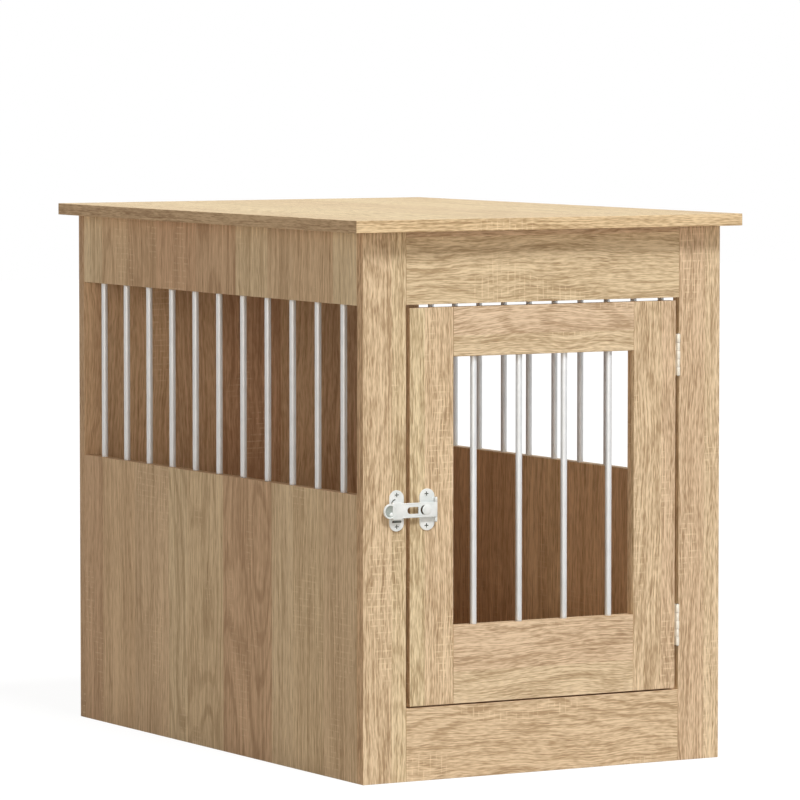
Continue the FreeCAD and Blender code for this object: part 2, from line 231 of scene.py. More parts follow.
def makeSawMarks(tree, flat, along, luck, look):
    # the share of pale saw marks, which run across the grain in patches
    beat = sums(tree, "MULTIPLY", along, 2 * math.pi / look["sawMarkSpacing"])
    beat = sums(tree, "MULTIPLY_ADD", oakMark(tree, "sawJitter", flat), look["sawMarkJitter"], beat)
    mark = remap(tree, sums(tree, "SINE", beat), *look["sawMarkEnds"])
    patch = remap(tree, oakMark(tree, "sawPatch", flat), *look["sawPatchEnds"])
    broken = remap(tree, oakMark(tree, "sawBreak", flat), *look["sawBreakEnds"])
    mark = sums(tree, "MULTIPLY", sums(tree, "MULTIPLY", mark, patch), broken)
    mark = sums(tree, "MULTIPLY", mark, remap(tree, luck, *look["sawMarkLuck"]))
    return sums(tree, "MULTIPLY", mark, look["sawMarkShare"])


def makeOak(name, changes):
    look = {**oakPrint, **changes}
    material, tree, shader = startMaterial(name)
    grainMap = addNode(tree, "ShaderNodeUVMap", uv_map="grain")
    parts = addNode(tree, "ShaderNodeSeparateXYZ", {0: grainMap.outputs[0]})
    along, across = parts.outputs[0], parts.outputs[1]
    tone, toneLuck, ringLuck, markLuck = makeStrips(tree, across, look)

    # the grain wanders across the strip in long bends and in short waves
    depth = sums(tree, "MULTIPLY", toneLuck, look["stripApart"])
    flat = addNode(tree, "ShaderNodeCombineXYZ", {0: along, 1: across, 2: depth}).outputs[0]
    bent = sums(tree, "MULTIPLY_ADD", oakMark(tree, "wave", flat), look["ripple"], across)
    bent = sums(tree, "MULTIPLY_ADD", oakMark(tree, "wander", flat), look["bend"], bent)
    grain = addNode(tree, "ShaderNodeCombineXYZ", {0: along, 1: bent, 2: depth}).outputs[0]

    # clouds, broad streaks, long hairlines and short flecks, summed up
    broad = oakMark(tree, "broad", grain, look["grainSize"])
    cloud = oakMark(tree, "cloud", grain, look["grainSize"])
    relief = sums(tree, "MULTIPLY", cloud, look["cloudShare"])
    relief = sums(tree, "MULTIPLY_ADD", broad, look["broadShare"], relief)
    fleckShare = look["fleckAndCloudShare"] - look["cloudShare"]
    for kind, share in (("hairline", look["hairlineShare"]), ("fleck", fleckShare)):
        relief = sums(tree, "MULTIPLY_ADD", oakMark(tree, kind, grain, look["grainSize"]), share, relief)

    # growth rings: rows of pores along lines that run out to the strip's edge
    hills = oakMark(tree, "ringHill", grain)
    phase = sums(tree, "MULTIPLY", hills, look["ringCount"] * look["ringTurn"])
    phase = sums(tree, "MULTIPLY_ADD", broad, look["ringSway"], phase)
    ring = remap(tree, sums(tree, "SINE", phase), *look["ringEnds"])
    ringDepth = remap(tree, ringLuck, *look["ringLuck"], *look["ringDepth"], False)
    relief = sums(tree, "SUBTRACT", relief, sums(tree, "MULTIPLY", ring, ringDepth))

    share = remap(tree, relief, *look["streakEnds"], smooth=False)
    dark = mixColours(tree, 1.0, tone, look["darkStreak"], "MULTIPLY")
    pale = mixColours(tree, 1.0, tone, look["paleStreak"], "MULTIPLY")
    colour = mixColours(tree, share, dark, pale)

    # open pores, denser along the rings, and the saw marks over them
    pore = remap(tree, oakMark(tree, "pore", grain), *look["poreEnds"])
    pore = sums(tree, "MULTIPLY", pore, remap(tree, ring, 0.0, 1.0, look["poreOffRing"], 1.0, False))
    poreShare = sums(tree, "MULTIPLY", pore, look["poreShare"])
    colour = mixColours(tree, poreShare, colour, look["poreColour"])
    markShare = makeSawMarks(tree, flat, along, markLuck, look)
    colour = mixColours(tree, markShare, colour, look["sawMarkColour"])

    height = sums(tree, "MULTIPLY_ADD", pore, -1.0, sums(tree, "MULTIPLY", share, look["streakRise"]))
    rough = look["roughness"]
    feed(tree, shader, {
        "Base Color": colour,
        "Roughness": remap(tree, pore, 0.0, 1.0, rough, rough + look["poreRoughness"], False),
        "Normal": bumped(tree, height, *look["bump"]),
        "Specular IOR Level": look["specular"],
    })
    return material


# Powder coat on the bars, softer paint on the pressed fittings, zinc on the hidden steel

metalFinish = {
    "cloud": 60.0,  # repeats in a metre of the broad change from colour to shade
    "cloudEnds": (0.35, 0.7),
    "peel": (1400.0,) * 3,  # repeats in a metre of the fine unevenness along each axis
    "peelDetail": 1.5,
    "peelBump": (0.2, 0.00005),
    "roughness": 0.34,
    "roughSpread": (0.05, 0.07),  # down and up from it
    "metal": 0.1,
    "softness": {},
}
barCoat = {
    "colour": paint(224, 227, 229),
    "shade": paint(218, 221, 223),
    "peel": (900.0,) * 3,
    "roughness": 0.5,
    "metal": 0.45,
    "softness": {  # light creeps round a thin bar under its coat
        "Subsurface Weight": 1.0,
        "Subsurface Radius": (1.0, 1.0, 1.0),
        "Subsurface Scale": 5 * mm,
        "Sheen Weight": 0.2,
    },
}
latchCoat = {"colour": paint(232, 235, 235), "shade": paint(218, 224, 224)}
hingeCoat = {"colour": paint(240, 236, 224), "shade": paint(230, 225, 212)}
# painted shade and reflection: the grey in the hollow of the thumb tab's dish
dishShadeCoat = {"colour": paint(164, 172, 166), "shade": paint(142, 150, 145), "roughness": 0.3, "metal": 0.3}
# painted shade: the dark grey walls of slots, holes, windows and cross recesses, where shade falls
recessShadeCoat = {
    "colour": paint(112, 117, 110),
    "shade": paint(84, 88, 84),
    "peel": (1800.0,) * 3,
    "roughness": 0.55,
    "metal": 0.2,
}
zincPlate = {
    "colour": paint(206, 207, 205),
    "shade": paint(168, 170, 170),
    "cloud": 180.0,
    "cloudEnds": (0.35, 0.65),
    "peel": (700.0, 700.0, 2600.0),
    "peelDetail": 2.0,
    "peelBump": (0.2, 0.00004),
    "roughness": 0.3,
    "roughSpread": (0.08, 0.12),
    "metal": 1.0,
}


def makeCoat(name, changes):
    look = {**metalFinish, **changes}
    material, tree, shader = startMaterial(name)
    place = objectPlace(tree)
    cloud = noise(tree, place, (look["cloud"],) * 3, 3.0)
    peel = noise(tree, place, look["peel"], look["peelDetail"])
    down, up = look["roughSpread"]
    shade = remap(tree, cloud, *look["cloudEnds"])
    feed(tree, shader, {
        "Base Color": mixColours(tree, shade, look["colour"], look["shade"]),
        "Roughness": remap(tree, peel, 0.3, 0.7, look["roughness"] - down, look["roughness"] + up),
        "Normal": bumped(tree, peel, *look["peelBump"]),
        "Metallic": look["metal"],
        **look["softness"],
    })
    return material


# Wood without a print: the dowels, and the chipboard where a board is drilled, which is made darker than
# chipboard is as painted shade inside the holes

beechPeg = {"light": paint(214, 180, 138), "dark": paint(168, 124, 84), "fleck": 900.0}
# the drilled chipboard is darker than chipboard is: painted shade inside the holes
chipCoreAndShade = {"light": paint(128, 98, 68), "dark": paint(84, 60, 40), "fleck": 420.0}


def makeRawWood(name, look):
    material, tree, shader = startMaterial(name)
    fleck = noise(tree, objectPlace(tree), (look["fleck"],) * 3, 3.0, 0.6)
    feed(tree, shader, {
        "Base Color": mixColours(tree, remap(tree, fleck, 0.4, 0.68), look["light"], look["dark"]),
        "Roughness": 0.75,
        "Normal": bumped(tree, fleck, 0.4, 0.0001),
    })
    return material


oakFace = makeOak("oakFace", {})
oakRail = makeOak("oakRail", {
    "stripWidth": 0.07,
    "darkStreak": (0.66, 0.60, 0.53, 1),
    "paleStreak": (1.16, 1.18, 1.20, 1),
    "ringDepth": (0.03, 0.10),
    "sawMarkLuck": (-0.2, 0.0),
    "bend": 0.045,
})
oakSide = makeOak("oakSide", {
    "stripWidth": 0.088,
    "stripTones": toneSet((222, 204, 170), (204, 174, 142), (220, 200, 166), (210, 183, 149),
                          (200, 168, 136), (221, 201, 166)),
    "darkStreak": (0.71, 0.65, 0.59, 1),
    "paleStreak": (1.14, 1.15, 1.16, 1),
    "sawMarkShare": 0.28,
    "ringDepth": (0.02, 0.10),
    "ringCount": 13.0,
    "cloudShare": 0.24,
    "grainSize": 1.4,
})
# the top's print is paler than the front's; part of that is painted light on the upward face
oakTop = makeOak("oakTop", {
    "stripWidth": 0.09,
    "stripTones": toneSet((230, 209, 169), (224, 200, 163), (233, 213, 174), (222, 198, 161)),
    "darkStreak": (0.70, 0.64, 0.57, 1),
    "paleStreak": (1.12, 1.13, 1.14, 1),
    "sawMarkShare": 0.3,
})
# inside faces: tones paler and warmer than the outer print, painted light inside the crate
innerPrint = {
    "stripWidth": 0.075,
    "stripTones": toneSet((233, 203, 165), (226, 190, 152), (235, 207, 168), (222, 184, 147)),
    "darkStreak": (0.70, 0.63, 0.57, 1),
    "paleStreak": (1.13, 1.14, 1.15, 1),
    "sawMarkShare": 0.22,
    "ringCount": 13.0,
    "cloudShare": 0.2,
    "grainSize": 1.4,
}
oakInnerLit = makeOak("oakInnerLit", innerPrint)
# the back panel's inside face: tones darker than the other inside faces, painted shade
oakBackShaded = makeOak("oakBackShaded", {
    **innerPrint,
    "stripTones": toneSet((205, 179, 146), (193, 158, 128), (208, 181, 147), (197, 165, 134)),
    "sawMarkShare": 0.3,
    "grainSize": 1.2,
})
edgePrint = {
    "stripWidth": 0.03,
    "stripTones": toneSet((217, 196, 156), (216, 185, 150), (227, 205, 168), (206, 174, 139)),
    "ringCount": 20.0,
    "bend": 0.01,
}
oakEdge = makeOak("oakEdge", edgePrint)
# painted shade: the edge print at a darker level for the table top's ends and the back panel's edges
oakShadedEdge = makeOak("oakShadedEdge", {
    **edgePrint,
    "stripTones": toneSet((192, 170, 136), (189, 160, 129), (200, 178, 146), (181, 151, 121)),
    "darkStreak": (0.70, 0.63, 0.57, 1),
})
whiteBar = makeCoat("whiteBar", barCoat)
whiteLatch = makeCoat("whiteLatch", latchCoat)
whiteHinge = makeCoat("whiteHinge", hingeCoat)
# the dish's grey is painted shade and reflection
dishShade = makeCoat("dishShade", dishShadeCoat)
# the recess grey is painted shade
recessShade = makeCoat("recessShade", recessShadeCoat)
zinc = makeCoat("zinc", zincPlate)
beech = makeRawWood("beech", beechPeg)
# the drilled chipboard finish is partly painted shade
drilledCoreAndShade = makeRawWood("drilledCoreAndShade", chipCoreAndShade)
print("materials made")


# Small helpers for meshes

def makePiece(shape, name, materials):
    mesh = bpy.data.meshes.new(name)
    shape.to_mesh(mesh)
    shape.free()
    for material in materials:
        mesh.materials.append(material)
    piece = bpy.data.objects.new(name, mesh)
    bpy.context.scene.collection.objects.link(piece)
    return piece


def finishPiece(piece, body, slotName, *replaced):
    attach(piece, body)
    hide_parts(*replaced)
    return piece


def cutAway(piece, cutter):
    taken = piece.modifiers.new("cut", "BOOLEAN")
    taken.operation = "DIFFERENCE"
    taken.solver = "EXACT"
    taken.object = cutter
    graph = bpy.context.evaluated_depsgraph_get()
    shaped = bpy.data.meshes.new_from_object(piece.evaluated_get(graph))
    piece.modifiers.clear()
    piece.data = shaped
    bpy.data.objects.remove(cutter)


def smoothRound(piece, angle=35):
    for face in piece.data.polygons:
        face.use_smooth = True
    piece.data.set_sharp_from_angle(angle=math.radians(angle))


def boxShape(size, middle=(0, 0, 0)):
    shape = bmesh.new()
    bmesh.ops.create_cube(shape, size=1)
    bmesh.ops.scale(shape, vec=size, verts=shape.verts)
    bmesh.ops.translate(shape, vec=middle, verts=shape.verts)
    return shape


def bevelEdges(shape, edges, offset, steps):
    bmesh.ops.bevel(shape, geom=edges, offset=offset, affect="EDGES", segments=steps, profile=0.5,
                    material=-1)


def blockShape(low, high, arris, steps=3):
    shape = boxShape(high - low, (low + high) / 2)
    bevelEdges(shape, shape.edges, arris, steps)
    return shape


def placed(place, heading):
    # moves the origin to the place and turns Z to the heading
    return Matrix.Translation(place) @ Vector(heading).to_track_quat("Z", "Y").to_matrix().to_4x4()


def rodShape(radius, start, end, segments=40):
    # a round rod between two points
    shape = bmesh.new()
    bmesh.ops.create_cone(shape, cap_ends=True, segments=segments, radius1=radius, radius2=radius,
                          depth=(end - start).length, matrix=placed((start + end) / 2, end - start))
    return shape


def joined(shapes):
    whole = bmesh.new()
    for shape in shapes:
        part = bpy.data.meshes.new("part")
        shape.to_mesh(part)
        shape.free()
        whole.from_mesh(part)
        bpy.data.meshes.remove(part)
    return whole


def addShapes(piece, shapes):
    # more closed shells in the same piece
    whole = joined(shapes)
    whole.from_mesh(piece.data)
    whole.to_mesh(piece.data)
    whole.free()


def painted(shape, finishes, finish):
    for face in shape.faces:
        face.material_index = finishes.index(finish)
    return shape


def cutShapes(piece, shapes, finish):
    # takes the shapes out of a piece, and gives the walls of the cuts a finish of their own
    finishes = list(piece.data.materials)
    cutAway(piece, makePiece(painted(joined(shapes), finishes, finish), "cutter", finishes))


def backToShape(piece):
    shape = bmesh.new()
    shape.from_mesh(piece.data)
    bpy.data.objects.remove(piece)
    return shape


def looseBoxes(node):
    # the box of each separate solid in a node
    shape = bmesh.new()
    shape.from_mesh(nodes[node].data)
    bmesh.ops.remove_doubles(shape, verts=shape.verts, dist=0.01 * mm)
    waiting = set(shape.verts)
    found = []
    while waiting:
        front = [waiting.pop()]
        points = []
        while front:
            vertex = front.pop()
            points.append(vertex.co.copy())
            for link in vertex.link_edges:
                other = link.other_vert(vertex)
                if other in waiting:
                    waiting.remove(other)
                    front.append(other)
        low = Vector(min(point[i] for point in points) for i in range(3))
        high = Vector(max(point[i] for point in points) for i in range(3))
        found.append((low, high))
    shape.free()
    return sorted(found, key=lambda box: tuple(round(value, 5) for value in box[0]))


bodyOf = {}
for bodyName, members in frame["record"]["behaviour"]["bodies"].items():
    for member in members:
        bodyOf[member] = bodyName


def finishMetal(piece, name, slotName):
    smoothRound(piece)
    finishPiece(piece, bodyOf[name], slotName, name)


# Latch. Places along X and sizes across are those of the pressed sheet, front faces are the frame's.

latch = {
    "plateRise": 24.9 * mm,  # half the height of the stile's plate
    "doorPlateRise": 25.3 * mm,
    "doorPlateHigh": -156.2 * mm,  # right edge of the door's plate
    "doorPlateRound": 0.97,  # its corners' radius as a share of half its width
    "plateRim": 0.35 * mm,
    "slotLow": -215.2 * mm,  # pressed slot below the clasp
    "slotHigh": -202.6 * mm,
    "slotDrop": -13.1 * mm,  # its middle below the latch's middle
    "slotHeight": 2.7 * mm,
    "slotDepth": 0.5 * mm,
    "pilotRadius": 1.25 * mm,
    "pilotDepth": 4 * mm,
    "hook": ((-211.4, 13.6), (-213.8, 12.9), (-215.6, 10.6), (-215.3, 7.5), (-214.8, 5.0)),
    "hookRadius": 0.75 * mm,
    "hookDepth": 0.9 * mm,
    "catchHalf": 4 * mm,
    "catchRise": 7.5 * mm,
    "catchSunk": 0.5 * mm,  # how far the catch stops short of the board
    "strapRise": 9.1 * mm,
    "strapRim": 0.35 * mm,
    "strapPast": 0.4 * mm,  # how far the strap's flat runs on behind the pin
    "strapSlotLow": -196.4 * mm,
    "strapSlotHigh": -181.2 * mm,
    "strapSlotRise": 4.15 * mm,
    "strapRib": 0.9 * mm,
    "strapRibRise": 0.3 * mm,
    "strapRibInset": 0.5 * mm,
    "strapRibEnd": 8.5 * mm,  # short of the dome's middle
    "dome": -169.0 * mm,
    "domeRadius": 6.4 * mm,
    "domeRise": 1.0 * mm,
    "domeGap": 0.15 * mm,
    "crescent": -172.1 * mm,
    "crescentRadius": 6.0 * mm,
    "windowReach": (-9 * mm, 3 * mm),  # the door plate's window, from the dome's middle
    "windowRise": 5.8 * mm,
    "reliefRadius": 7.2 * mm,
    "reliefDepth": 6 * mm,
    "claspLow": -217.4 * mm,
    "claspHigh": -203.4 * mm,
    "claspRise": 10.6 * mm,
    "claspRim": 0.9 * mm,
    "claspCorner": 1.6 * mm,
    "claspStep": 0.2 * mm,  # how far it lies behind the tab's front
    "tabRadius": 9.0 * mm,
    "dishRadius": 7.1 * mm,
    "dishDepth": 2.2 * mm,
    "thumbLobe": (3.7 * mm, 1.0 * mm, 3.0 * mm),
    "thumbLobeDrop": -4.2 * mm,
    "sheet": 1.2 * mm,
    "barrel": 1.9 * mm,
    "barrelRim": 0.3 * mm,
    "bore": 1.16 * mm,
    "pocketHalf": 4.5 * mm,  # in the clasp, round the catch
    "pocketRise": 8 * mm,
    "pocketDepth": 1.6 * mm,
    "earReach": 5.2 * mm,
    "earGap": 0.4 * mm,
    "earSheet": 5 * mm,  # how far an ear's sheet runs onto the plate
    "screwDrop": 19.25 * mm,
    "doorScrews": -167.6 * mm,
    "pinRadius": 1.1 * mm,
    "pinHead": 1.5 * mm,
    "pinHeadLength": 0.6 * mm,
}
latchLow, latchHigh = boxes["latch_stile_plate"]
latchMiddle = (latchLow.z + latchHigh.z) / 2


# Boards. Each has its grain along one axis, and a hairline left open where it meets another board.

boards = {
    "arris": 0.5 * mm,
    "seam": 0.15 * mm,
    "narrow": 20 * mm,  # a face slimmer than this is an edge, and its print runs along it
    "wide": ("side_panel", "back_panel", "table_top", "floor_panel"),  # boards with the wide strips
    "grain": {
        "table_top": "y",
        "front_stile_left": "z",
        "front_stile_right": "z",
        "front_rail_top": "x",
        "front_rail_bottom": "x",
        "side_panel_lower_left": "z",
        "side_panel_lower_right": "z",
        "side_panel_upper_left": "z",
        "side_panel_upper_right": "z",
        "back_panel": "z",
        "floor_panel": "y",
        "door_stile_left": "z",
        "door_stile_right": "z",
        "door_rail_top": "x",
        "door_rail_bottom": "x",
    },
}
boardFinishes = [oakFace, oakEdge, drilledCoreAndShade, oakSide, oakRail, oakInnerLit, oakTop, oakBackShaded, oakShadedEdge]


def meets(name, axis, end):
    # whether another board lies face to face with that side of this one
    mine = boxes[name]
    plane = mine[end][axis]
    others = [i for i in range(3) if i != axis]
    for other in boards["grain"]:
        theirs = boxes[other]
        if other == name or bodyOf[other] != bodyOf[name]:
            continue
        if abs(theirs[1 - end][axis] - plane) > 0.01 * mm:
            continue
        if all(min(mine[1][i], theirs[1][i]) - max(mine[0][i], theirs[0][i]) > mm for i in others):
            return True
    return False


def facesInside(face, name, facing):
    # whether a panel's face looks into the crate
    middle = (boxes[name][0] + boxes[name][1]) / 2
    inner = (frameBounds[0][2] + frameBounds[1][2]) / 2 if facing == 2 else 0
    return (face.normal[facing] > 0) != (middle[facing] > inner)


def layGrain(shape, name, low, high):
    # gives each face its stretch of the print, in metres
    layer = shape.loops.layers.uv.new("grain")
    grainAxis = axisNames.index(boards["grain"][name])
    size = high - low
    for face in shape.faces:
        facing = max(range(3), key=lambda i: abs(face.normal[i]))
        flat = [i for i in range(3) if i != facing]
        isEdge = min(size[i] for i in flat) < boards["narrow"]
        if isEdge or facing == grainAxis:
            alongAxis = max(flat, key=lambda i: size[i])
        else:
            alongAxis = grainAxis
        acrossAxis = flat[0] if flat[1] == alongAxis else flat[1]
        side = "plus" if face.normal[facing] > 0 else "minus"
        luck = random.Random(name + axisNames[facing] + side)
        slide = (luck.uniform(0, 40), luck.uniform(0, 40))
        if isEdge:
            # the table top's ends and the back panel's edges get the edge print with painted shade
            shadedEdge = name == "back_panel" or (name == "table_top" and facing == 0)
            finish = oakShadedEdge if shadedEdge else oakEdge
        elif name.startswith(boards["wide"]):
            outer = oakTop if name == "table_top" else oakSide
            # the back panel's inside face gets painted shade
            inner = oakBackShaded if name == "back_panel" else oakInnerLit
            # the other inside faces get the print with painted light
            finish = inner if facesInside(face, name, facing) else outer
        else:
            finish = oakRail if "rail" in name else oakFace
        face.material_index = boardFinishes.index(finish)
        for corner in face.loops:
            place = corner.vert.co
            corner[layer].uv = (place[alongAxis] + slide[0], place[acrossAxis] + slide[1])


def makeBoard(name):
    low, high = boxes[name]
    low, high = low.copy(), high.copy()
    for axis in range(3):
        if meets(name, axis, 0):
            low[axis] += boards["seam"]
        if meets(name, axis, 1):
            high[axis] -= boards["seam"]
    shape = blockShape(low, high, boards["arris"], 2)
    layGrain(shape, name, low, high)
    return makePiece(shape, name + "_print", boardFinishes)


# Bars and the drilled holes that they stand in

bars = {
    "segments": 48,
    "arris": 0.4 * mm,
    "holeRadius": 4.3 * mm,
    "holeDepth": 3 * mm,
}
barNames = sorted(name for name in nodes if "_bar_" in name)


def makeBar(name):
    low, high = boxes[name]
    middle = (low + high) / 2
    radius = (high.x - low.x) / 2
    shape = rodShape(radius, Vector((middle.x, middle.y, low.z)), Vector((middle.x, middle.y, high.z)),
                     bars["segments"])
    rims = [edge for edge in shape.edges if abs(edge.verts[0].co.z - edge.verts[1].co.z) < 0.01 * mm]
    bevelEdges(shape, rims, bars["arris"], 3)
    finishMetal(makePiece(shape, name + "_rod", [whiteBar]), name, "white_bar")


def barHoles(name):
    # the mouths of the holes of every bar that ends in this board
    low, high = boxes[name]
    mouths = []
    for bar in barNames:
        barLow, barHigh = boxes[bar]
        middle = (barLow + barHigh) / 2
        if not (low.x < middle.x < high.x and low.y < middle.y < high.y):
            continue
        for face, way in ((high.z, 1), (low.z, -1)):
            if barLow.z < face < barHigh.z:
                mouths.append(rodShape(bars["holeRadius"],
                                       Vector((middle.x, middle.y, face - way * bars["holeDepth"])),
                                       Vector((middle.x, middle.y, face + way * past)), 32))
    return mouths


camDiscs = {
    "pocketGap": 0.1 * mm,
    "rim": 0.35 * mm,
    "crossLength": 6.8 * mm,
    "crossWidth": 1.4 * mm,
    "crossDepth": 1.2 * mm,
    "arrowRadius": 1.1 * mm,
    "arrowInset": 1.9 * mm,  # from the disc's rim
    "arrowDepth": 1.0 * mm,
}
camBoxes = looseBoxes("cam_discs")


def facingIn(middle):
    # the way from a side panel's middle to the inside of the crate
    return Vector((-1 if middle.x > 0 else 1, 0, 0))


def camPockets(name):
    low, high = boxes[name]
    pockets = []
    for discLow, discHigh in camBoxes:
        middle = (discLow + discHigh) / 2
        if not all(low[i] < middle[i] < high[i] for i in range(3)):
            continue
        radius = (discHigh.z - discLow.z) / 2 + camDiscs["pocketGap"]
        half = (discHigh.x - discLow.x) / 2
        inwards = facingIn(middle)
        pockets.append(rodShape(radius, middle - inwards * (half + camDiscs["pocketGap"]),
                                middle + inwards * (half + past), 48))
    return pockets


def drillRod(radius, place, depth, segments):
    # a cutter for a round hole drilled backwards from a point of a front face
    return rodShape(radius, place + Vector((0, depth, 0)), place - Vector((0, past, 0)), segments)


def latchHoles(name):
    # a pocket behind the latch's crescent, and the dark end of the slot in the other plate; their walls
    # get the darkened chipboard, painted shade
    front = boxes[name][0].y
    if name == "door_stile_left":
        place = Vector((latch["dome"], front, latchMiddle))
        return [drillRod(latch["reliefRadius"], place, latch["reliefDepth"], 40)]
    if name == "front_stile_left":
        place = Vector((latch["slotLow"] + latch["pilotRadius"], front, latchMiddle + latch["slotDrop"]))
        return [drillRod(latch["pilotRadius"], place, latch["pilotDepth"], 24)]
    return []


for name in boards["grain"]:
    board = makeBoard(name)
    holes = barHoles(name) + camPockets(name) + latchHoles(name)
    if holes:
        # the holes get the darkened chipboard, painted shade
        cutShapes(board, holes, drilledCoreAndShade)
    finishPiece(board, bodyOf[name], "oak_laminate", name)
print("boards made")

for name in barNames:
    makeBar(name)
print("bars made")


# Shapes shared by the hinges, the latch and the screws

def flatPlate(low, high, corner, rim, steps=12):
    # sheet metal lying against the front, with round corners and a rolled front rim
    shape = boxShape(high - low, (low + high) / 2)
    corners = [edge for edge in shape.edges if abs(edge.verts[0].co.y - edge.verts[1].co.y) > tiny]
    bevelEdges(shape, corners, corner, steps)
    front = [edge for edge in shape.edges if max(vertex.co.y for vertex in edge.verts) < low.y + tiny]
    bevelEdges(shape, front, rim, 3)
    return shape


def turnedShape(profile, base, heading, steps=32):
    # a profile of (radius, way along the heading) turned once round
    shape = bmesh.new()
    points = [shape.verts.new((radius, 0, along)) for radius, along in profile]
    for first, second in zip(points, points[1:]):
        shape.edges.new((first, second))
    bmesh.ops.spin(shape, geom=shape.verts[:] + shape.edges[:], cent=(0, 0, 0), axis=(0, 0, 1),
                   angle=2 * math.pi, steps=steps, use_merge=True)
    bmesh.ops.remove_doubles(shape, verts=shape.verts, dist=tiny)
    bmesh.ops.recalc_face_normals(shape, faces=shape.faces)
    bmesh.ops.transform(shape, matrix=placed(base, heading), verts=shape.verts)
    return shape


crossTaper = 0.55  # a recess arm's width at its bottom, as a share of that at its top
crossSlimmer = 0.94  # the second arm is a shade slimmer, or the exact cut leaves stray faces


def crossCutter(point, inwards, length, width, depth):
    # two tapered slots crossing at a point of a face
    over = 0.2 * mm
    arms = []
    for quarter, slim in ((0, 1), (1, crossSlimmer)):
        arm = bmesh.new()
        half = math.sqrt(0.5)
        bmesh.ops.create_cone(arm, cap_ends=True, segments=4, radius1=half, radius2=half * crossTaper,
                              depth=1)
        bmesh.ops.rotate(arm, matrix=Matrix.Rotation(math.pi / 4, 3, "Z"), verts=arm.verts)
        bmesh.ops.scale(arm, vec=(length * slim, width * slim, depth + over), verts=arm.verts)
        bmesh.ops.rotate(arm, matrix=Matrix.Rotation(quarter * math.pi / 2, 3, "Z"), verts=arm.verts)
        bmesh.ops.translate(arm, vec=(0, 0, (depth - over) / 2), verts=arm.verts)
        bmesh.ops.transform(arm, matrix=placed(point, inwards), verts=arm.verts)
        arms.append(arm)
    return arms


fittingFinishes = [whiteLatch, recessShade, dishShade]
hingeFinishes = [whiteHinge, recessShade]
zincFinishes = [zinc, recessShade]


# Screws, countersunk, with rolled threads

screws = {
    "headRadius": 3.6 * mm,
    "headEdge": 0.25 * mm,  # how deep the head's straight edge goes
    "headGap": 0.05 * mm,  # between the head and its seat
    "shankGap": 0.1 * mm,
    "crown": 0.12 * mm,
    "coneDepth": 1.4 * mm,
    "coreRadius": 1.15 * mm,
    "threadRadius": 1.5 * mm,
    "threadPitch": 1.0 * mm,
    "length": 12 * mm,
    "tipLength": 1.6 * mm,
    "crossLength": 6.2 * mm,
    "crossWidth": 1.5 * mm,
    "crossDepth": 0.9 * mm,
}


def screwShape(point, inwards):
    head, core, thread = screws["headRadius"], screws["coreRadius"], screws["threadRadius"]
    pitch = screws["threadPitch"]
    profile = [(0, -screws["crown"]), (head * 0.6, -screws["crown"] * 0.6), (head * 0.95, 0),
               (head, screws["crown"]), (head, screws["headEdge"]), (core, screws["coneDepth"])]
    depth = screws["coneDepth"] + pitch * 0.5
    while depth < screws["length"] - screws["tipLength"]:
        profile += [(core, depth), (thread, depth + pitch * 0.3), (core, depth + pitch * 0.6)]
        depth += pitch
    profile.append((0, screws["length"]))
    return turnedShape(profile, point, inwards, 28)


def countersink(point, inwards):
    # the seat of a screw, cut right through its plate
    wide, slim = screws["headRadius"] + screws["headGap"], screws["threadRadius"] + screws["shankGap"]
    above, through = -0.3 * mm, 3 * mm
    profile = [(0, above), (wide, above), (wide, screws["headEdge"]), (slim, screws["coneDepth"]),
               (slim, through), (0, through)]
    return turnedShape(profile, point, inwards, 32)


def makeScrews(name, places, finishes, slotName):
    # one piece for a row of screws; a place is a point of the plate's face and the way in
    piece = makePiece(joined([screwShape(point, inwards) for point, inwards in places]), name + "_turned",
                      finishes)
    crosses = []
    for point, inwards in places:
        start = Vector(point) - Vector(inwards) * screws["crown"]
        crosses += crossCutter(start, inwards, screws["crossLength"], screws["crossWidth"],
                               screws["crossDepth"])
    # the cross recesses get dark walls, painted shade
    for arms in (crosses[0::2], crosses[1::2]):
        cutShapes(piece, arms, recessShade)
    finishMetal(piece, name, slotName)


def makePin(name, middle, half, sizes):
    # an upright pin with a domed head at each end
    radius, head, length = sizes["pinRadius"], sizes["pinHead"], sizes["pinHeadLength"]
    profile = [(0, -half - length), (head * 0.55, -half - length * 0.92),
               (head * 0.9, -half - length * 0.6), (head, -half - length * 0.2), (head, -half),
               (radius, -half)]
    profile += [(place, -along) for place, along in reversed(profile)]
    shape = turnedShape(profile, middle, upwards)
    finishMetal(makePiece(shape, name + "_turned", zincFinishes), name, "zinc_steel")


def makePressed(name, sheet, finishes, openings, seats, shells):
    # a fitting of pressed sheet: its openings get dark walls of painted shade, its seats keep its own coat
    piece = makePiece(sheet, name + "_pressed", finishes)
    for opening in openings:
        cutShapes(piece, [opening], recessShade)
    cutShapes(piece, seats, finishes[0])
    addShapes(piece, shells)
    finishMetal(piece, name, "white_fitting")


# Butt hinges in the door's right gap

hinges = {
    "knuckles": 5,
    "frameKnuckle": 2.45 * mm,
    "doorKnuckle": 2.1 * mm,
    "knuckleGap": 0.3 * mm,  # left open at each end of a knuckle
    "knuckleRim": 0.35 * mm,
    "bore": 1.25 * mm,
    "sheet": 1.2 * mm,
    "leafRim": 0.25 * mm,
    "turnRadius": 2.8 * mm,  # cut in a leaf round the other leaf's knuckles
    "turnOver": 0.1 * mm,  # and that far past their ends
    "rolledFrom": 1.4 * mm,  # where the flat of the leaf ends, behind the pin
    "screwSpread": 15 * mm,
    "screwBack": 8 * mm,
    "pinRadius": 1.2 * mm,
    "pinHead": 1.9 * mm,
    "pinHeadLength": 0.8 * mm,
}


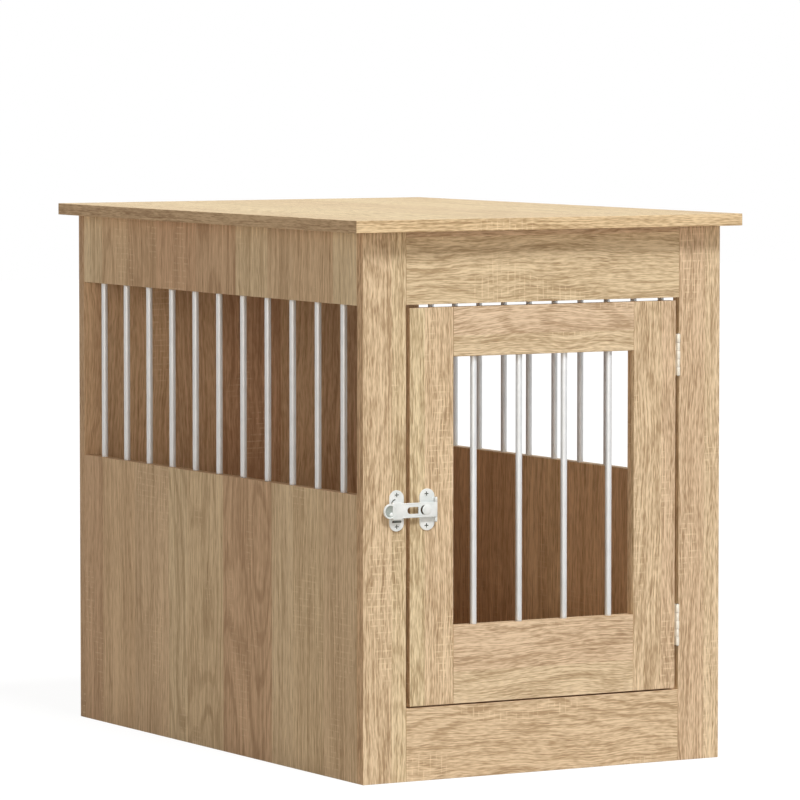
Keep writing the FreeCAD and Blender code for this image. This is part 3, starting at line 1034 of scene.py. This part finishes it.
def barrelShape(radius, bore, rim, pin, low, high):
    # a rolled barrel round an upright pin, with softened ends
    profile = [(bore, low), (radius - rim, low), (radius - rim * 0.3, low + rim * 0.3),
               (radius, low + rim), (radius, high - rim), (radius - rim * 0.3, high - rim * 0.3),
               (radius - rim, high), (bore, high), (bore, low)]
    return turnedShape(profile, Vector((pin.x, pin.y, 0)), upwards, 40)


def makeLeaf(name, side, pin, low, high):
    # side is 1 for the leaf on the frame and -1 for the one on the door; gives its screws' places
    leafLow, leafHigh = boxes[name]
    outer = max(leafHigh.x, pin.x) if side > 0 else min(leafLow.x, pin.x)
    inner = outer - side * hinges["sheet"]
    flatLow = Vector((min(outer, inner), pin.y + hinges["rolledFrom"], low))
    flatHigh = Vector((max(outer, inner), leafHigh.y, high))
    pitch = (high - low) / hinges["knuckles"]
    radius = hinges["frameKnuckle"] if side > 0 else hinges["doorKnuckle"]
    gap, over = hinges["knuckleGap"], hinges["turnOver"]
    mine, cuts = [], []
    for place in range(hinges["knuckles"]):
        start = low + place * pitch
        if (place % 2 == 0) == (side > 0):
            mine.append(barrelShape(radius, hinges["bore"], hinges["knuckleRim"], pin,
                                    start + gap / 2, start + pitch - gap / 2))
        else:
            cuts.append(rodShape(hinges["turnRadius"], Vector((pin.x, pin.y, start - over)),
                                 Vector((pin.x, pin.y, start + pitch + over))))
    seats = []
    for way in (-1, 1):
        seat = Vector((inner, pin.y + hinges["screwBack"], (low + high) / 2 + way * hinges["screwSpread"]))
        seats.append((seat, (side, 0, 0)))
    cuts += [countersink(*seat) for seat in seats]
    makePressed(name, blockShape(flatLow, flatHigh, hinges["leafRim"]), hingeFinishes, [], cuts, mine)
    return seats


screwPlaces = {"frame": [], "door": []}
for hinge in ("hinge_lower", "hinge_upper"):
    pinLow, pinHigh = boxes[hinge + "_pin"]
    pin = (pinLow + pinHigh) / 2
    leafLow, leafHigh = boxes[hinge + "_frame_leaf"]
    for owner, side in (("frame", 1), ("door", -1)):
        screwPlaces[owner] += makeLeaf(hinge + "_" + owner + "_leaf", side, pin, leafLow.z, leafHigh.z)
    makePin(hinge + "_pin", pin, (pinHigh.z - pinLow.z) / 2 - hinges["pinHeadLength"], hinges)
for owner, places in screwPlaces.items():
    makeScrews("hinge_screws_" + owner, places, zincFinishes, "zinc_steel")
print("hinges made")


# Latch: two plates, the flip arm between them, its pin and the screws

def latchPoint(x, y, rise=0.0):
    return Vector((x, y, latchMiddle + rise))


front = latchHigh.y  # the boards' front face
plateFront = front - latch["sheet"]
plateMiddle = (latchLow.x + latchHigh.x) / 2
doorPlateLow = boxes["latch_door_plate"][0].x
pinLow, pinHigh = boxes["latch_pin"]
latchPin = (pinLow + pinHigh) / 2
armLow = boxes["latch_arm"][0]
strapFront = boxes["latch_door_plate"][0].y
strapBack = strapFront + latch["sheet"]
claspFront = armLow.y + latch["claspStep"]
nearlyHalf = 0.998 / 2  # a round end's radius as a share of the width; at half the bevel closes up


def screwRow(x):
    # the two screws of a plate, one above the other
    return [(latchPoint(x, plateFront, way * latch["screwDrop"]), backwards) for way in (-1, 1)]


stilePlaces = screwRow(plateMiddle)
doorPlaces = screwRow(latch["doorScrews"])


def slotCutter(low, high, rise, near, far):
    # a slot with round ends, cut along Y
    return flatPlate(latchPoint(low, near, -rise), latchPoint(high, far, rise), rise * 2 * nearlyHalf,
                     tiny, 8)


def hookShadowCutters():
    # a painted shadow of the clasp's left edge: a hook-shaped groove with dark walls in the plate, cut as
    # dots and the links between them
    points = [Vector((x * mm, plateFront, latchMiddle + z * mm)) for x, z in latch["hook"]]
    depth, radius = latch["hookDepth"], latch["hookRadius"]
    cutters = [drillRod(radius, point, depth, 20) for point in points]
    for first, second in zip(points, points[1:]):
        run = second - first
        link = boxShape((run.length, depth + past, radius * 2))
        bmesh.ops.rotate(link, matrix=Matrix.Rotation(-math.atan2(run.z, run.x), 3, "Y"), verts=link.verts)
        bmesh.ops.translate(link, vec=(first + second) / 2 + Vector((0, (depth - past) / 2, 0)),
                            verts=link.verts)
        cutters.append(link)
    return cutters


def makeStilePlate():
    rise = latch["plateRise"]
    plate = flatPlate(latchPoint(latchLow.x, plateFront, -rise), latchPoint(latchHigh.x, front, rise),
                      (latchHigh.x - latchLow.x) * nearlyHalf, latch["plateRim"])
    drop, half = latch["slotDrop"], latch["slotHeight"] / 2
    slot = flatPlate(latchPoint(latch["slotLow"], plateFront - past, drop - half),
                     latchPoint(latch["slotHigh"], plateFront + latch["slotDepth"], drop + half),
                     half * 0.7, tiny, 6)
    pilot = latchPoint(latch["slotLow"] + latch["pilotRadius"], plateFront - past, drop)
    drilled = rodShape(latch["pilotRadius"], pilot, pilot + Vector((0, latch["pilotDepth"], 0)), 24)
    half, rise = latch["catchHalf"], latch["catchRise"]
    catch = blockShape(latchPoint(plateMiddle - half, latchLow.y, -rise),
                       latchPoint(plateMiddle + half, front - latch["catchSunk"], rise), 0.5 * mm)
    # the slot, the hook line and the pilot hole get dark walls of painted shade
    makePressed("latch_stile_plate", plate, fittingFinishes, [slot] + hookShadowCutters() + [drilled],
                [countersink(*place) for place in stilePlaces], [catch])


def makeDoorPlate():
    rise, high = latch["doorPlateRise"], latch["doorPlateHigh"]
    plate = flatPlate(latchPoint(doorPlateLow, plateFront, -rise), latchPoint(high, front, rise),
                      (high - doorPlateLow) / 2 * latch["doorPlateRound"], latch["plateRim"], 14)
    windowLow, windowHigh = (latch["dome"] + reach for reach in latch["windowReach"])
    window = slotCutter(windowLow, windowHigh, latch["windowRise"], plateFront - past, front + past)
    ears = []
    rim, barrel = latch["barrelRim"], latch["barrel"]
    near = latch["strapRise"] + latch["earGap"]
    for way in (-1, 1):
        low, high = sorted((way * near, way * (near + latch["earReach"])))
        ears.append(barrelShape(barrel, latch["bore"], rim, latchPin, latchMiddle + low,
                                latchMiddle + high))
        ears.append(blockShape(latchPoint(latchPin.x - latch["earSheet"], plateFront - 0.2 * mm, low),
                               latchPoint(latchPin.x + barrel * 0.6, front - 0.1 * mm, high), rim))
    makePressed("latch_door_plate", plate, fittingFinishes, [window],
                [countersink(*place) for place in doorPlaces], ears)


def strapCutters():
    # a slot that is round on the left and square on the right
    low, high, rise = latch["strapSlotLow"], latch["strapSlotHigh"], latch["strapSlotRise"]
    slot = slotCutter(low, high, rise, strapFront - past, strapBack + past)
    square = boxShape((rise * 1.4, latch["sheet"] + 2 * past, rise * 1.98),
                      latchPoint(high - rise * 0.7, (strapFront + strapBack) / 2))
    return slot, square


def crescentCutter():
    # a round hole, of which the dome leaves a crescent open
    place, dome = latch["crescent"], latch["dome"]
    hole = rodShape(latch["crescentRadius"], latchPoint(place, strapBack + past),
                    latchPoint(place, strapFront - past), 48)
    piece = makePiece(hole, "crescent", fittingFinishes)
    keep = rodShape(latch["domeRadius"] + latch["domeGap"], latchPoint(dome, strapBack + 2 * past),
                    latchPoint(dome, strapFront - 2 * past), 56)
    # the crescent's walls are dark, painted shade
    cutShapes(piece, [keep], recessShade)
    return backToShape(piece)


def strapRibs():
    # raised lines along both edges of the strap
    ribs = []
    start, end = latch["claspHigh"] - mm, latch["dome"] - latch["strapRibEnd"]
    outer = latch["strapRise"] - latch["strapRibInset"]
    for way in (-1, 1):
        low, high = sorted((way * outer, way * (outer - latch["strapRib"])))
        ribs.append(blockShape(latchPoint(start, strapFront - latch["strapRibRise"], low),
                               latchPoint(end, strapFront + 0.3 * mm, high), 0.28 * mm))
    return ribs


def domeShape():
    radius, rise = latch["domeRadius"], latch["domeRise"]
    profile = [(0, -rise), (radius * 0.4, -rise * 0.9), (radius * 0.7, -rise * 0.62),
               (radius * 0.92, -rise * 0.25), (radius, 0), (radius, 0.4 * mm), (0, 0.4 * mm)]
    return turnedShape(profile, latchPoint(latch["dome"], strapFront), backwards, 56)


def claspShape():
    # stands out over the catch, which has a pocket behind
    rise, half, pocketRise = latch["claspRise"], latch["pocketHalf"], latch["pocketRise"]
    clasp = flatPlate(latchPoint(latch["claspLow"], claspFront, -rise),
                      latchPoint(latch["claspHigh"], strapBack, rise), latch["claspCorner"],
                      latch["claspRim"], 6)
    piece = makePiece(clasp, "clasp", fittingFinishes)
    pocket = blockShape(latchPoint(plateMiddle - half, strapBack - latch["pocketDepth"], -pocketRise),
                        latchPoint(plateMiddle + half, strapBack + past, pocketRise), 0.2 * mm, 1)
    # the pocket's walls are dark, painted shade
    cutShapes(piece, [pocket], recessShade)
    return backToShape(piece)


def lobeShape():
    # the small swelling where the tab meets the clasp
    shape = bmesh.new()
    bmesh.ops.create_uvsphere(shape, u_segments=32, v_segments=16, radius=1)
    bmesh.ops.scale(shape, vec=latch["thumbLobe"], verts=shape.verts)
    place = latchPoint(latch["claspLow"] - 0.2 * mm, claspFront + 1.5 * mm, latch["thumbLobeDrop"])
    bmesh.ops.translate(shape, vec=place, verts=shape.verts)
    return shape


def tabShape():
    # a dished disc; only what lies left of the clasp's pocket is kept
    radius, dish, depth = latch["tabRadius"], latch["dishRadius"], latch["dishDepth"]
    thick = strapBack - armLow.y
    profile = [(0, depth), (dish * 0.45, depth * 0.85), (dish * 0.8, depth * 0.5), (dish, depth * 0.12),
               (dish + 0.5 * mm, 0), (radius - 0.5 * mm, 0), (radius - 0.1 * mm, 0.25 * mm),
               (radius, 0.7 * mm), (radius, thick - 0.3 * mm), (radius - 0.3 * mm, thick), (0, thick)]
    place = latchPoint(armLow.x + radius, armLow.y)
    shape = turnedShape(profile, place, backwards, 56)
    # the hollow gets the grey of painted shade and reflection
    for face in shape.faces:
        away = face.calc_center_median() - place
        if math.hypot(away.x, away.z) < dish and away.y < thick * 0.85:
            face.material_index = fittingFinishes.index(dishShade)
    piece = makePiece(shape, "tab", fittingFinishes)
    reach = radius + 2 * mm
    beyond = blockShape(latchPoint(plateMiddle - latch["pocketHalf"], armLow.y - past, -reach),
                        latchPoint(plateMiddle + reach, strapBack + past, reach), 0.1 * mm, 1)
    cutShapes(piece, [beyond], whiteLatch)
    return backToShape(piece)


def makeArm():
    rise = latch["strapRise"]
    strap = blockShape(latchPoint(plateMiddle + latch["pocketHalf"], strapFront, -rise),
                       latchPoint(latchPin.x + latch["strapPast"], strapBack, rise), latch["strapRim"])
    bore = rodShape(latch["bore"], latchPoint(latchPin.x, latchPin.y, -rise - past),
                    latchPoint(latchPin.x, latchPin.y, rise + past))
    roll = barrelShape(latch["barrel"], latch["bore"], latch["barrelRim"], latchPin,
                       latchMiddle - rise, latchMiddle + rise)
    makePressed("latch_arm", strap, fittingFinishes, [*strapCutters(), crescentCutter()], [bore],
                strapRibs() + [domeShape(), claspShape(), lobeShape(), tabShape(), roll])


makeStilePlate()
makeDoorPlate()
makeArm()
makeScrews("latch_screws_stile", stilePlaces, fittingFinishes, "white_fitting")
makeScrews("latch_screws_door", doorPlaces, fittingFinishes, "white_fitting")
makePin("latch_pin", latchPin, latch["strapRise"] + latch["earGap"] + latch["earReach"], latch)
print("latch made")


# Cam discs in their pockets. The dowels and the cam bolts stay as the frame has them.

def makeCamDiscs():
    discs, cuts = [], []
    for low, high in camBoxes:
        middle = (low + high) / 2
        inwards = facingIn(middle)
        radius, half, rim = (high.z - low.z) / 2, (high.x - low.x) / 2, camDiscs["rim"]
        profile = [(0, 0), (radius - rim, 0), (radius - rim * 0.3, rim * 0.3), (radius, rim),
                   (radius, half * 2), (0, half * 2)]
        face = middle + inwards * half
        discs.append(turnedShape(profile, face, -inwards, 40))
        cuts += crossCutter(face, -inwards, camDiscs["crossLength"], camDiscs["crossWidth"],
                            camDiscs["crossDepth"])
        mark = bmesh.new()
        bmesh.ops.create_cone(mark, cap_ends=True, segments=3, radius1=camDiscs["arrowRadius"],
                              radius2=camDiscs["arrowRadius"] * 0.6, depth=camDiscs["arrowDepth"])
        away = Vector((0, math.copysign(radius - camDiscs["arrowInset"], middle.y), 0))
        bmesh.ops.transform(mark, matrix=placed(face + away, -inwards), verts=mark.verts)
        cuts.append(mark)
    piece = makePiece(joined(discs), "cam_discs_cast", zincFinishes)
    # the crosses and the arrow marks get dark walls, painted shade
    for group in (cuts[0::3], cuts[1::3], cuts[2::3]):
        cutShapes(piece, group, recessShade)
    finishMetal(piece, "cam_discs", "zinc_steel")


makeCamDiscs()
for name, node in nodes.items():
    if not node.hide_render:
        node.data.materials.clear()
        node.data.materials.append(beech if "dowels" in name else zinc)
        print("kept from the frame", name)


# Studio

studio = {
    "floorHalf": 12.0,
    "floorWhite": 0.93,  # what the floor gives to the camera by itself
    "floorShadow": 0.13,  # how much of the light that falls on it is added to that
    "floorBounce": (0.48, 0.44, 0.39, 1),
    "skyStrength": 0.30,
    "skyColour": (1.0, 0.91, 0.81, 1),
    "keyStrength": 2.76,
    "keyColour": (0.95, 0.98, 1.0),
    "keyAngle": 15.0,
    "keyFrom": (0.1, -1.0, 1.63),
    "fillStrength": 0.97,
    "fillColour": (1.0, 0.88, 0.77),
    "fillAngle": 25.0,
    "fillFrom": (-0.54, -0.842, 0.08),
}


def seenDirectly(tree):
    # 1 for what the camera sees, straight or by a reflection or through glass
    path = addNode(tree, "ShaderNodeLightPath")
    straight = sums(tree, "MAXIMUM", path.outputs["Is Camera Ray"], path.outputs["Is Glossy Ray"])
    return sums(tree, "MAXIMUM", straight, path.outputs["Is Transmission Ray"])


def makeFloor():
    shape = bmesh.new()
    bmesh.ops.create_grid(shape, x_segments=1, y_segments=1, size=studio["floorHalf"])
    material = bpy.data.materials.new("paleFloor")
    tree = emptyTree(material)
    bounce = addNode(tree, "ShaderNodeBsdfDiffuse", {"Color": studio["floorBounce"]})
    shadow = addNode(tree, "ShaderNodeBsdfDiffuse", {"Color": (studio["floorShadow"],) * 3 + (1,)})
    white = addNode(tree, "ShaderNodeEmission", {"Strength": studio["floorWhite"]})
    shown = addNode(tree, "ShaderNodeAddShader", {0: shadow.outputs[0], 1: white.outputs[0]})
    either = addNode(tree, "ShaderNodeMixShader",
                     {0: seenDirectly(tree), 1: bounce.outputs[0], 2: shown.outputs[0]})
    addNode(tree, "ShaderNodeOutputMaterial", {"Surface": either.outputs[0]})
    floor = makePiece(shape, "studioFloor", [material])


def makeSky():
    world = bpy.data.worlds.new("studioSky")
    bpy.context.scene.world = world
    tree = emptyTree(world)
    soft = addNode(tree, "ShaderNodeBackground", {0: studio["skyColour"], 1: studio["skyStrength"]})
    white = addNode(tree, "ShaderNodeBackground", {0: (1, 1, 1, 1), 1: 1.0})
    either = addNode(tree, "ShaderNodeMixShader",
                     {0: seenDirectly(tree), 1: soft.outputs[0], 2: white.outputs[0]})
    addNode(tree, "ShaderNodeOutputWorld", {"Surface": either.outputs[0]})


def makeLamp(part):
    lamp = bpy.data.lights.new(part + "Lamp", "SUN")
    lamp.energy = studio[part + "Strength"]
    lamp.color = studio[part + "Colour"]
    lamp.angle = math.radians(studio[part + "Angle"])
    holder = bpy.data.objects.new(part + "Lamp", lamp)
    holder.rotation_euler = Vector(studio[part + "From"]).to_track_quat("Z", "Y").to_euler()
    bpy.context.scene.collection.objects.link(holder)


photoCamera = {
    "place": (-3.38796, -5.91350, 0.89371),
    "yaw": 29.918,  # degrees, from +Y towards +X
    "pitch": -3.8595,
    "focalLength": 239.6,  # millimetres, on a sensor 36 mm wide
}


def makeCamera():
    data = bpy.data.cameras.new("photoCamera")
    data.sensor_width = 36
    data.lens = photoCamera["focalLength"]
    camera = bpy.data.objects.new("photoCamera", data)
    camera.location = photoCamera["place"]
    camera.rotation_euler = (math.radians(90 + photoCamera["pitch"]), 0, math.radians(-photoCamera["yaw"]))
    bpy.context.scene.collection.objects.link(camera)
    bpy.context.scene.camera = camera


makeFloor()
makeSky()
makeLamp("key")
makeLamp("fill")
makeCamera()
bpy.context.scene.view_settings.view_transform = "Standard"
print("studio made")
